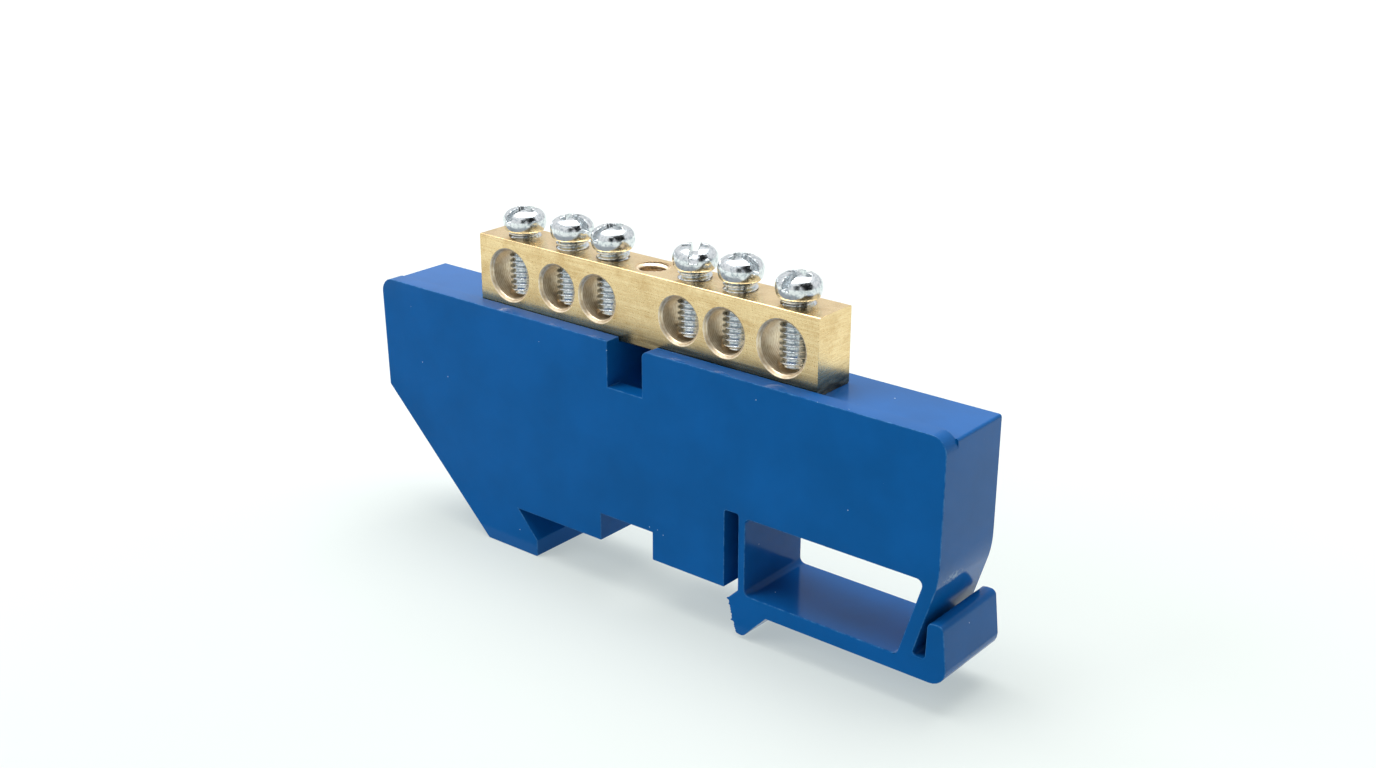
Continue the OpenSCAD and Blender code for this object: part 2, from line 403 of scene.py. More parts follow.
@dataclass(frozen=True)
class MouldedPolyamide:
    """Blue injection-moulded polyamide: glossy and even, with a faint flow mottle, a few pale
    specks and a small scuffed patch. Its broken edges are paler, partly worn and partly a
    painted highlight.
    """

    deep: str = "#0a5392"
    light: str = "#0b5a9f"
    speck: str = "#a9c6de"
    # paler edges: wear and a painted highlight
    worn_and_highlit: str = "#4c86bc"
    scuffed: str = "#93adc6"
    sheen: str = "#7d9aa4"
    roughness: float = 0.13
    specular: float = 0.24
    flow_mm: float = 11.0
    speck_cell_mm: float = 2.4
    speck_in_cell: Pair = (0.012, 0.034)
    bare_cells: float = 0.30
    scuff_at_mm: Point = (41.3, -2.3, 15.1)
    scuff_size_mm: Point = (3.0, 2.3, 0.75)
    scuff_core: float = 0.35
    scratches: Blotches = Blotches(0.35, 0.46, 0.62, most=0.6)
    # patches of wear and painted highlight along the edges
    wear_and_highlight: Blotches = Blotches(1.1, 0.40, 0.68, most=0.7, roughness=0.7)
    ripple_mm: float = 1.6
    ripple_high_mm: float = 0.02

    def specks(self, tree: Tree, place: Socket) -> Socket:
        """Scatters pale grains of unmelted resin: a dot in the middle of some of the cells.

        Args:
            tree: the material's tree.
            place: the object coordinates.

        Returns:
            The dots' mask.
        """
        cells = add_node(tree, "TexVoronoi", {"Vector": place, "Scale": per_mm(self.speck_cell_mm)})
        chance = add_node(tree, "SeparateColor", {0: cells["Color"]})
        small, big = self.speck_in_cell
        size = add_node(tree, "MapRange", {"Value": chance[1], "To Min": small, "To Max": big})
        dot = add_node(tree, "Math", {0: cells["Distance"], 1: size[0]}, operation="LESS_THAN")
        some = add_node(tree, "Math", {0: chance[0], 1: self.bare_cells}, operation="GREATER_THAN")
        return add_node(tree, "Math", {0: dot[0], 1: some[0]}, operation="MULTIPLY")[0]

    def scuff(self, tree: Tree, place: Socket) -> Socket:
        """Marks the small scuffed patch above the lever.

        Args:
            tree: the material's tree.
            place: the object coordinates.

        Returns:
            The patch's mask.
        """
        scale = [per_mm(size) for size in self.scuff_size_mm]
        local = add_node(tree, "Mapping", {
            "Vector": place, "Scale": scale,
            "Location": [-at * MM * k for at, k in zip(self.scuff_at_mm, scale)],
        })
        away = add_node(tree, "VectorMath", {0: local[0]}, operation="LENGTH")
        patch = add_node(tree, "MapRange", {
            "Value": away["Value"], "From Min": self.scuff_core, "To Min": 1.0, "To Max": 0.0,
        })
        marks = self.scratches.mask(tree, place)
        return add_node(tree, "Math", {0: patch[0], 1: marks}, operation="MULTIPLY")[0]

    def material(self, on_edges: bool = False) -> Skin:
        """Builds the holder's material.

        Args:
            on_edges: whether this is the broken edges' skin: worn, with a painted highlight.

        Returns:
            The material.
        """
        material, tree, shader = new_material(
            "worn_and_highlit_polyamide_edge" if on_edges else "moulded_polyamide"
        )
        place = add_node(tree, "TexCoord")["Object"]
        flow = add_node(tree, "TexNoise", {
            "Vector": place, "Scale": per_mm(self.flow_mm), "Detail": 4.0, "Roughness": 0.6,
        })["Fac"]
        tone = add_node(tree, "MapRange", {"Value": flow, "From Min": 0.36, "From Max": 0.64})
        coats = [
            (tone[0], self.light),
            (self.specks(tree, place), self.speck),
            (self.scuff(tree, place), self.scuffed),
        ]
        if on_edges:
            # painted highlight and wear: the edges are paler in patches, partly worn by handling
            # and partly the highlight that they catch
            coats.append((self.wear_and_highlight.mask(tree, place), self.worn_and_highlit))
        rough = add_node(tree, "MapRange", {
            "Value": flow, "From Min": 0.3, "From Max": 0.7,
            "To Min": self.roughness - 0.02, "To Max": self.roughness + 0.03,
        })
        # the skin copies the mould: a faint fine ripple
        ripple = add_node(
            tree, "TexNoise", {"Vector": place, "Scale": per_mm(self.ripple_mm), "Detail": 3.0}
        )
        bump = add_node(tree, "Bump", {
            "Height": ripple["Fac"], "Strength": 0.25, "Distance": self.ripple_high_mm * MM,
        })
        feed(tree, shader, {
            "Base Color": coated(tree, self.deep, *coats), "Specular Tint": linear(self.sheen),
            "Specular IOR Level": self.specular, "Roughness": rough[0],
            "Normal": bump[0],
        })
        return material


@dataclass(frozen=True)
class DrawnBrass:
    """Free-cutting brass, drawn to section: a dull speckled skin with fine die lines, sawn across
    its ends; its foot is darker, a painted shade and reflection of the holder.
    """

    bright: str = "#f9e1b0"
    dull: str = "#e0be85"
    tarnish: str = "#b3853f"
    # painted shade and reflection: the colour of the bar's darkened foot
    foot: str = "#3c362c"
    foot_mm: float = 3.7
    foot_from_mm: float = 8.0
    foot_to_mm: float = 22.0
    foot_left: float = 0.25
    roughness: float = 0.25
    # die lines and speckle are finer on real stock: they are drawn this coarse so that they show
    grain_mm: float = 0.12
    speckle_mm: float = 0.12
    speckle_share: float = 0.62
    tone: Pair = (0.36, 0.60)
    saw_mm: float = 0.16
    saw_slant_deg: float = 28.0
    end_facing: float = 0.8
    patches: Blotches = Blotches(3.6, 0.48, 0.72, most=0.45, roughness=0.65)
    streaks: Blotches = Blotches(0.45, 0.35, 0.6, least=0.6, detail=4.0)
    relief_mm: float = 0.008

    def lines(self, tree: Tree, place: Socket, facing: Socket) -> Socket:
        """Lays die lines along the bar, and slanting saw lines on its two ends.

        Args:
            tree: the material's tree.
            place: the object coordinates.
            facing: the surface normal.

        Returns:
            The height of the lines.
        """
        slant = (math.radians(self.saw_slant_deg), 0.0, 0.0)
        grain, saw = (
            add_node(tree, "TexNoise", {
                "Vector": add_node(tree, "Mapping", {"Vector": place, **run})[0],
                "Scale": per_mm(size_mm), "Detail": 3.0, "Roughness": 0.6,
            })["Fac"]
            for run, size_mm in (
                ({"Scale": (0.02, 1.0, 1.0)}, self.grain_mm),
                ({"Rotation": slant, "Scale": (1.0, 0.06, 1.0)}, self.saw_mm),
            )
        )
        side = add_node(tree, "SeparateXYZ", {0: facing})
        side = add_node(tree, "Math", {0: side[0]}, operation="ABSOLUTE")
        is_end = add_node(tree, "Math", {0: side[0], 1: self.end_facing}, operation="GREATER_THAN")
        return add_node(tree, "Mix", {0: is_end[0], 2: grain, 3: saw}, data_type="FLOAT")[0]

    def painted_foot_shade(self, tree: Tree, place: Socket) -> Socket:
        """Painted shade and reflection: dark streaks up from the seat, mostly on the right half.

        Args:
            tree: the material's tree.
            place: the object coordinates.

        Returns:
            The share of painted shade.
        """
        low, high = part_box("terminal_bar")
        at = add_node(tree, "SeparateXYZ", {0: place})
        stretched = add_node(tree, "Mapping", {"Vector": place, "Scale": (0.06, 0.3, 1.0)})
        share = self.streaks.mask(tree, stretched[0])
        for ramp, settings in (
            ({"Value": at[2], "From Min": low.z, "From Max": low.z + self.foot_mm * MM,
              "To Min": 1.0, "To Max": 0.0}, {"interpolation_type": "SMOOTHSTEP"}),
            ({"Value": at[0], "From Min": low.x + self.foot_from_mm * MM,
              "From Max": high.x - self.foot_to_mm * MM, "To Min": self.foot_left,
              "To Max": 1.0}, {}),
        ):
            ramped = add_node(tree, "MapRange", ramp, **settings)[0]
            share = add_node(tree, "Math", {0: ramped, 1: share}, operation="MULTIPLY")[0]
        return share

    def material(self) -> Skin:
        """Builds the outer skin of the bar.

        Returns:
            The material.
        """
        material, tree, shader = new_material("drawn_brass")
        coords = add_node(tree, "TexCoord")
        place = coords["Object"]
        # handled brass: a fine speckle of tarnish gives the skin its sandy look
        speckle = add_node(tree, "TexNoise", {
            "Vector": place, "Scale": per_mm(self.speckle_mm), "Detail": 4.0, "Roughness": 0.75,
        })["Fac"]
        mixed = add_node(tree, "Mix", {
            0: self.speckle_share, 2: self.lines(tree, place, coords["Normal"]), 3: speckle,
        }, data_type="FLOAT")[0]
        toned = {"Value": mixed, "From Min": self.tone[0], "From Max": self.tone[1]}
        tone = add_node(tree, "MapRange", toned)
        rough = add_node(tree, "MapRange", {
            **toned, "To Min": self.roughness + 0.08, "To Max": self.roughness - 0.04,
        })
        bump = add_node(
            tree, "Bump", {"Height": mixed, "Strength": 0.4, "Distance": self.relief_mm * MM}
        )
        feed(tree, shader, {
            "Base Color": coated(
                tree, self.dull, (tone[0], self.bright),
                (self.patches.mask(tree, place), self.tarnish),
                # painted shade: the holder's shade and dark reflection along the bar's foot
                (self.painted_foot_shade(tree, place), self.foot),
            ),
            "Metallic": 1.0, "Roughness": rough[0], "Normal": bump[0],
        })
        return material


@dataclass(frozen=True)
class BoredBrass:
    """Brass cut by a drill: bright rings that run round the bore, one for each turn of the feed."""

    bright: str = "#fff0d6"
    dark: str = "#dcc39c"
    feed_mm: float = 0.30
    smear_mm: float = 0.5
    roughness: float = 0.40
    metallic: float = 0.85
    relief_mm: float = 0.010

    def material(self) -> Skin:
        """Builds the skin of the wire ports and of the tapped holes.

        Returns:
            The material.
        """
        material, tree, shader = new_material("bored_brass")
        place = add_node(tree, "TexCoord")["Object"]
        # a wave texture of scale 1 has a band every pi / 10
        rings = add_node(tree, "TexWave", {
            "Vector": place, "Scale": per_mm(self.feed_mm) * math.pi / 10,
            "Distortion": 3.0, "Detail": 2.0, "Detail Scale": 2.0,
        }, wave_type="BANDS", bands_direction="Y")
        smear = add_node(
            tree, "TexNoise", {"Vector": place, "Scale": per_mm(self.smear_mm), "Detail": 3.0}
        )
        cut = add_node(tree, "Math", {
            0: rings["Fac"], 1: 0.5, 2: smear["Fac"],
        }, operation="MULTIPLY_ADD")[0]
        tone = add_node(tree, "MapRange", {"Value": cut, "From Min": 0.45, "From Max": 1.1})
        bump = add_node(
            tree, "Bump", {"Height": cut, "Strength": 0.16, "Distance": self.relief_mm * MM}
        )
        feed(tree, shader, {
            "Base Color": coated(tree, self.dark, (tone[0], self.bright)),
            "Metallic": self.metallic, "Roughness": self.roughness, "Normal": bump[0],
        })
        return material


@dataclass(frozen=True)
class ZincPlate:
    """Bright zinc plate on steel, barrel-plated: mirror-like with a blue-grey mottle."""

    bright: str = "#e6e9ea"
    mottle: str = "#8c9da7"
    roughness: float = 0.09
    rougher: float = 0.24
    mottle_mm: float = 0.36
    relief_mm: float = 0.025

    def material(self) -> Skin:
        """Builds the screws' material.

        Returns:
            The material.
        """
        material, tree, shader = new_material("bright_zinc_plate")
        spots = add_node(tree, "TexNoise", {
            "Vector": add_node(tree, "TexCoord")["Object"],
            "Scale": per_mm(self.mottle_mm), "Detail": 6.0, "Roughness": 0.72, "Distortion": 0.4,
        })["Fac"]
        tone = add_node(
            tree, "MapRange", {"Value": spots, "From Min": 0.49, "From Max": 0.66, "To Max": 0.9}
        )
        rough = add_node(tree, "MapRange", {
            "Value": spots, "From Min": 0.35, "From Max": 0.7,
            "To Min": self.roughness, "To Max": self.roughness + self.rougher,
        })
        bump = add_node(
            tree, "Bump", {"Height": spots, "Strength": 0.35, "Distance": self.relief_mm * MM}
        )
        feed(tree, shader, {
            "Base Color": coated(tree, self.bright, (tone[0], self.mottle)),
            "Metallic": 1.0, "Roughness": rough[0], "Normal": bump[0],
        })
        return material


@dataclass(frozen=True)
class LitWhite:
    """Opal white sheet, lit from below, for the floor: its own light keeps the shadows pale."""

    colour: str = "#a0a3a1"
    clouded: str = "#a4a7a5"
    cloud_mm: float = 40.0
    glow: str = "#aab1ae"
    # the glow is dimmer round this point: a painted broad soft shadow of the part
    middle: Point = (0.03, -0.06, 0.0)
    near: float = 0.05
    far: float = 0.15
    edge: float = 1.2
    far_glow: float = 1.18

    def material(self) -> Skin:
        """Builds the floor's material.

        Returns:
            The material.
        """
        material, tree, shader = new_material("opal_white")
        place = add_node(tree, "TexCoord")["Object"]
        away = add_node(
            tree, "VectorMath", {0: place, 1: self.middle}, operation="DISTANCE"
        )["Value"]
        # painted shadow: the glow is lower near the part, for its broad soft shadow on the floor
        glow = add_node(tree, "MapRange", {
            "Value": away, "From Min": self.near, "From Max": self.far,
            "To Min": 1.0, "To Max": self.far_glow,
        }, interpolation_type="SMOOTHSTEP")
        # the lamps reach less far than the sheet, so its own light grows outwards
        beyond = add_node(
            tree, "MapRange", {"Value": away, "From Min": self.far, "From Max": self.edge}
        )
        glow = add_node(tree, "Math", {0: glow[0], 1: beyond[0]}, operation="ADD")
        clouds = add_node(
            tree, "TexNoise", {"Vector": place, "Scale": per_mm(self.cloud_mm), "Detail": 2.0}
        )
        feed(tree, shader, {
            "Base Color": coated(tree, self.colour, (clouds["Fac"], self.clouded)),
            "Emission Color": linear(self.glow), "Emission Strength": glow[0],
            "Roughness": 0.9, "Specular IOR Level": 0.1,
        })
        return material


# ---- screw thread ----


def thread_tree() -> Tree:
    """Builds the tree that cuts a helical thread and sets a head on it.

    The tree wraps a grid round the axis, with its rows along the helix, so that
    each crest and root is an unbroken line of edges.

    Returns:
        The node tree, with named inputs for its sizes.
    """
    tree = bpy.data.node_groups.new("threaded_shank", "GeometryNodeTree")
    face = tree.interface
    face.new_socket("Geometry", in_out="OUTPUT", socket_type="NodeSocketGeometry")
    for kind, names in (
        ("Float", ("Crest radius", "Root radius", "Pitch", "Length", "Tip radius", "End radius")),
        ("Int", ("Turns", "Steps per turn", "Sides")),
        ("Float", ("Turned",)), ("Vector", ("Seat",)), ("Object", ("Head",)),
        ("Material", ("Material",)),
    ):
        for name in names:
            face.new_socket(name, in_out="INPUT", socket_type=f"NodeSocket{kind}")
    known = {socket.name: socket for socket in add_node(tree, "NodeGroupInput")}
    at = add_node(tree, "SeparateXYZ", {0: add_node(tree, "GeometryNodeInputPosition")[0]})
    known |= {"x": at[0], "y": at[1]}
    # each row: a result's name, the operation or node that gives it, and what it is fed
    for name, kind, *values in (
        ("rows", "MULTIPLY_ADD", "Turns", "Steps per turn", 1.0),
        ("columns", "ADD", "Sides", 1.0),
        ("round", "ADD", "x", 0.5),
        ("turn", "MULTIPLY_ADD", "Turns", 0.5, "y"),
        ("climbed", "ADD", "turn", "round"),
        ("turns up", "SUBTRACT", "climbed", 1.0),
        ("height", "MULTIPLY", "turns up", "Pitch"),
        ("half turn", "PINGPONG", "turn", 0.5),
        ("flank", "MULTIPLY", "half turn", 2.0),
        # the root is flat up to the first share of the flank, the crest from the second
        ("rise", "MapRange", "flank", 0.16, 0.86),
        ("depth", "SUBTRACT", "Crest radius", "Root radius"),
        ("thread", "MULTIPLY_ADD", "depth", "rise", "Root radius"),
        ("level", "Clamp", "height", 0.0, "Length"),
        ("tip", "ADD", "Tip radius", "level"),
        ("wall", "MINIMUM", "thread", "tip"),
        ("above", "GREATER_THAN", "height", MERGE),
        ("top", "SUBTRACT", "Length", MERGE),
        ("below", "LESS_THAN", "height", "top"),
        ("inside", "MULTIPLY", "above", "below"),
        ("proud", "SUBTRACT", "wall", "End radius"),
        ("radius", "MULTIPLY_ADD", "inside", "proud", "End radius"),
        ("angle", "MULTIPLY", "round", math.tau),
        ("cosine", "COSINE", "angle"),
        ("sine", "SINE", "angle"),
        ("across", "MULTIPLY", "radius", "cosine"),
        ("deep", "MULTIPLY", "radius", "sine"),
        ("down", "SUBTRACT", "level", "Length"),
    ):
        inputs = {k: known.get(value, value) for k, value in enumerate(values)}
        if kind.isupper():
            known[name] = add_node(tree, "Math", inputs, operation=kind)[0]
        else:
            known[name] = add_node(tree, kind, inputs)[0]
    grid = add_node(tree, "GeometryNodeMeshGrid", {
        "Size X": 1.0, "Size Y": known["Turns"],
        "Vertices X": known["columns"], "Vertices Y": known["rows"],
    })
    place = add_node(tree, "CombineXYZ", {0: known["across"], 1: known["deep"], 2: known["down"]})
    shank = add_node(tree, "GeometryNodeSetPosition", {"Geometry": grid[0], "Position": place[0]})
    shank = add_node(tree, "GeometryNodeMergeByDistance", {"Geometry": shank[0], "Distance": MERGE})
    head = add_node(tree, "GeometryNodeObjectInfo", {"Object": known["Head"]})
    whole = add_node(tree, "GeometryNodeJoinGeometry", {0: shank[0]})[0]
    feed(tree, whole.node, {0: head["Geometry"]})
    placed = add_node(tree, "GeometryNodeTransform", {
        "Geometry": whole, "Translation": known["Seat"],
        "Rotation": add_node(tree, "CombineXYZ", {2: known["Turned"]})[0],
    })
    real = add_node(tree, "GeometryNodeRealizeInstances", {0: placed[0]})
    dressed = add_node(
        tree, "GeometryNodeSetMaterial", {"Geometry": real[0], "Material": known["Material"]}
    )
    add_node(tree, "NodeGroupOutput", {0: dressed[0]})
    return tree


@dataclass(frozen=True)
class Thread:
    """A helical thread's sizes and fineness."""

    crest_mm: float
    root_mm: float
    pitch_mm: float = 0.7
    steps: int = 14
    sides: int = 48

    def cut(self, tree: Tree, name: str, length: float, others: dict[str, object]) -> Piece:
        """Runs the thread tree with these sizes.

        Args:
            tree: the tree from thread_tree().
            name: the new piece's name.
            length: the thread's length.
            others: the tree's other inputs, by name.

        Returns:
            The piece as a plain mesh.
        """
        sizes = {
            "Crest radius": self.crest_mm * MM, "Root radius": self.root_mm * MM,
            "Pitch": self.pitch_mm * MM, "Length": length,
            # the first and the last turn run out into the ends
            "Turns": math.ceil(length / (self.pitch_mm * MM)) + 2,
            "Steps per turn": self.steps, "Sides": self.sides, **others,
        }
        obj = object_from(bpy.data.meshes.new(name), name)
        modifier = obj.modifiers.new("thread", "NODES")
        modifier.node_group = tree
        for item in tree.interface.items_tree:
            if item.in_out == "INPUT" and item.name in sizes:
                modifier[item.identifier] = sizes[item.name]
        with editing(finished(obj).data) as bm:
            bmesh.ops.dissolve_degenerate(bm, edges=bm.edges, dist=MERGE)
            open_ends = [edge for edge in bm.edges if edge.is_boundary]
            if open_ends:
                # they are joined behind the thread, which closes it into a sleeve
                bmesh.ops.bridge_loops(bm, edges=open_ends)
            bmesh.ops.recalc_face_normals(bm, faces=bm.faces)
        return obj


# ---- sub-assemblies ----


@dataclass
class ScrewHead:
    """Barrel-shaped head with a driver recess, cut once and shared by the six screws."""

    seat_d_mm: float = 4.3
    widest_d_mm: float = 5.25
    height_mm: float = 2.7
    waist_share: float = 0.45
    barrel_power: float = 0.62
    crown_power: float = 0.95
    slot_w_mm: float = 1.0
    slot_depth_mm: float = 1.5
    cross_l_mm: float = 3.1
    cross_w_mm: float = 0.94
    cross_depth_mm: float = 1.7
    cross_taper: float = 0.5
    draft: float = 0.92
    recess: Recess = Recess.SLOT_AND_CROSS
    edge_mm: float = 0.07
    low_steps: int = 8
    high_steps: int = 22
    sides: int = 96

    def outline(self) -> list[Pair]:
        """Draws the head's half outline from the seat to the crown.

        Returns:
            The outline as radius and height.
        """
        seat, big, high = self.seat_d_mm / 2, self.widest_d_mm / 2, self.height_mm
        waist = self.waist_share * high
        below = [
            (seat + (big - seat) * math.sin(t), waist * (1 - math.cos(t)))
            for t in (math.pi / 2 * k / self.low_steps for k in range(self.low_steps + 1))
        ]
        above = [
            (big * max(math.cos(t), 0.0) ** self.barrel_power,
             waist + (high - waist) * math.sin(t) ** self.crown_power)
            for t in (math.pi / 2 * k / self.high_steps for k in range(1, self.high_steps))
        ]
        return [(r * MM, z * MM) for r, z in below + above]

    def blank(self) -> Piece:
        """Turns the outline into a closed solid.

        Returns:
            The head without its recess.
        """
        bm = bmesh.new()
        rings = [ring(bm, r, z, self.sides) for r, z in self.outline()]
        join_rings(bm, rings)
        bm.faces.new(list(reversed(rings[0])))
        crown = bm.verts.new((0.0, 0.0, self.height_mm * MM))
        for k in range(self.sides):
            bm.faces.new((rings[-1][k], rings[-1][(k + 1) % self.sides], crown))
        bmesh.ops.recalc_face_normals(bm, faces=bm.faces)
        return object_from_bmesh(bm, "head_blank")

    def cutter(
        self, length: float, width: float, depth: float, taper: float = 1.0, turned: float = 0.0
    ) -> Piece:
        """Makes one bar-shaped cutter that opens upwards.

        Args:
            length: its length at the crown, in millimetres.
            width: its width, in millimetres.
            depth: its depth below the crown, in millimetres.
            taper: the share of the length that is left at the floor.
            turned: its angle about the axis.

        Returns:
            The cutter as an object.
        """
        clear = 0.5  # how far it stands above the crown, in millimetres
        top, floor = self.height_mm + clear, self.height_mm - depth
        grow = 1 + (1 - taper) * clear / depth
        bm = bmesh.new()
        rings = [
            [
                bm.verts.new((x * length * long / 2 * MM, y * width * wide / 2 * MM, z * MM))
                for x, y in ((-1, -1), (1, -1), (1, 1), (-1, 1))
            ]
            for long, wide, z in ((taper, self.draft, floor), (grow, 1.0, top))
        ]
        bm.faces.new(list(reversed(rings[0])))
        bm.faces.new(rings[1])
        join_rings(bm, rings)
        turn = Matrix.Rotation(turned, 3, "Z")
        bmesh.ops.rotate(bm, verts=bm.verts, cent=(0, 0, 0), matrix=turn)
        return object_from_bmesh(bm, "recess_cutter")

    def build(self) -> Piece:
        """Cuts the recesses into the blank and breaks their edges.

        Returns:
            The head with its seat at the origin.
        """
        head = self.blank()
        # the slot's cutter is a fifth longer than the head is wide
        cutters = [self.cutter(self.widest_d_mm * 1.2, self.slot_w_mm, self.slot_depth_mm)]
        if self.recess is Recess.SLOT_AND_CROSS:
            cutters += [
                self.cutter(
                    self.cross_l_mm, self.cross_w_mm, self.cross_depth_mm, self.cross_taper, turned
                )
                for turned in (0.0, math.pi / 2)
            ]
        for cutter in cutters:
            cut = head.modifiers.new("recess", "BOOLEAN")
            cut.operation = "DIFFERENCE"
            cut.solver = "EXACT"
            cut.object = cutter
            finished(head)
            bpy.data.objects.remove(cutter)
        return soften(head, self.edge_mm * MM, angle_deg=38.0, segments=3)


@dataclass
class ClampScrew:
    """One terminal screw, M4 by 0.7."""

    number: int
    turned_deg: float
    thread: Thread = Thread(crest_mm=1.98, root_mm=1.56)
    head_height_mm: float = 2.7
    tip_mm: float = 1.5

    def build(self, tree: Tree, head: Piece, skin: Skin) -> None:
        """Cuts the thread, sets the head on it and places the screw in its CAD node's box.

        Args:
            tree: the thread tree.
            head: the shared head.
            skin: the screw's material.
        """
        node = f"terminal_screw_{self.number}"
        low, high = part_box(node)
        length = (high.z - low.z) - self.head_height_mm * MM
        screw = self.thread.cut(tree, f"clamp_screw_{self.number}", length, {
            "Tip radius": self.tip_mm * MM, "End radius": 0.0,
            "Turned": math.radians(self.turned_deg),
            "Seat": ((low.x + high.x) / 2, (low.y + high.y) / 2, low.z + length),
            "Head": head, "Material": skin,
        })
        smooth(screw, angle_deg=42)
        put_on(screw, f"screw_{self.number}", "screw_zinc", node)


@dataclass
class TerminalBar:
    """The brass bar with its wire ports, and the thread in its empty centre hole."""

    port_chamfer_mm: float = 0.38
    edge_mm: float = 0.05
    sharp_deg: float = 32.0
    thread: Thread = Thread(crest_mm=1.66, root_mm=2.03)
    hole_r_mm: float = 2.1
    lip_r_mm: Pair = (1.99, 2.06)
    lip_down_mm: Pair = (0.02, 0.60)
    lip_sides: int = 64
    thread_from_mm: float = 0.1
    thread_short_mm: float = 0.3

    def ports(self) -> list[tuple[Vector, float]]:
        """Returns each wire port's centre and radius from the record."""
        return [
            (Vector(mount["pos_m"]), mount["dims"]["r_mm"] * MM)
            for mount in frame["record"]["mounts"] if mount["name"].startswith("wire_port")
        ]

    def lips(self, bored: Skin) -> None:
        """Closes the gap round each screw with the first turn of its tapped hole.

        Args:
            bored: the skin of the holes.
        """
        low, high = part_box("terminal_bar")
        middle, bm = (low.y + high.y) / 2, bmesh.new()
        (near, far), (start, end) = self.lip_r_mm, self.lip_down_mm
        for place, _ in self.ports():
            rings = [
                ring(bm, r * MM, high.z - down * MM, self.lip_sides, place.x, middle)
                for r, down in ((near, start), (far, start), (far, end), (near, end))
            ]
            join_rings(bm, rings + rings[:1])
        bmesh.ops.recalc_face_normals(bm, faces=bm.faces)
        lips = object_from_bmesh(bm, "tapped_hole_lips", bored)
        smooth(lips, angle_deg=40)
        put_on(lips, "base", "bar_brass")

    def mark_bored(self, mesh: Mesh) -> None:
        """Gives the faces of the ports, their chamfers and the tapped holes the second material.

        Args:
            mesh: the bar's mesh, whose materials are the drawn and the bored skin.
        """
        low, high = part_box("terminal_bar")
        ports, middle = self.ports(), (low.y + high.y) / 2
        holes = [place.x for place, _ in ports] + [(low.x + high.x) / 2]
        for face in mesh.polygons:
            at = face.center
            inner = all(low[k] + TOUCH < at[k] < high[k] - TOUCH for k in (1, 2))
            in_port = any(
                math.hypot(at.x - place.x, at.z - place.z)
                < radius + self.port_chamfer_mm * MM + TOUCH
                for place, radius in ports
            )
            in_hole = any(math.hypot(at.x - x, at.y - middle) < self.hole_r_mm * MM for x in holes)
            face.material_index = int(inner and (in_port or in_hole))

    def build(self, tree: Tree, drawn: Skin, bored: Skin) -> None:
        """Builds the bar and the centre hole's thread.

        Args:
            tree: the thread tree.
            drawn: the outer skin.
            bored: the skin of the holes.
        """
        bar = merged_copy("terminal_bar", "brass_bar")
        soften(bar, self.edge_mm * MM, self.sharp_deg)
        bar.data.materials.append(drawn)
        bar.data.materials.append(bored)
        self.mark_bored(bar.data)
        self.lips(bored)
        put_on(bar, "base", "bar_brass", "terminal_bar")
        low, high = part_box("terminal_bar")
        length = high.z - low.z - self.thread_short_mm * MM
        top = high.z - self.thread_from_mm * MM
        thread = self.thread.cut(tree, "centre_hole_thread", length, {
            "Tip radius": 1.0,  # so wide that it doesn't cut the first turns
            "End radius": self.thread.root_mm * MM, "Turned": 0.0,
            "Seat": ((low.x + high.x) / 2, (low.y + high.y) / 2, top), "Material": bored,
        })
        thread.data.shade_smooth()
        put_on(thread, "base", "bar_brass")


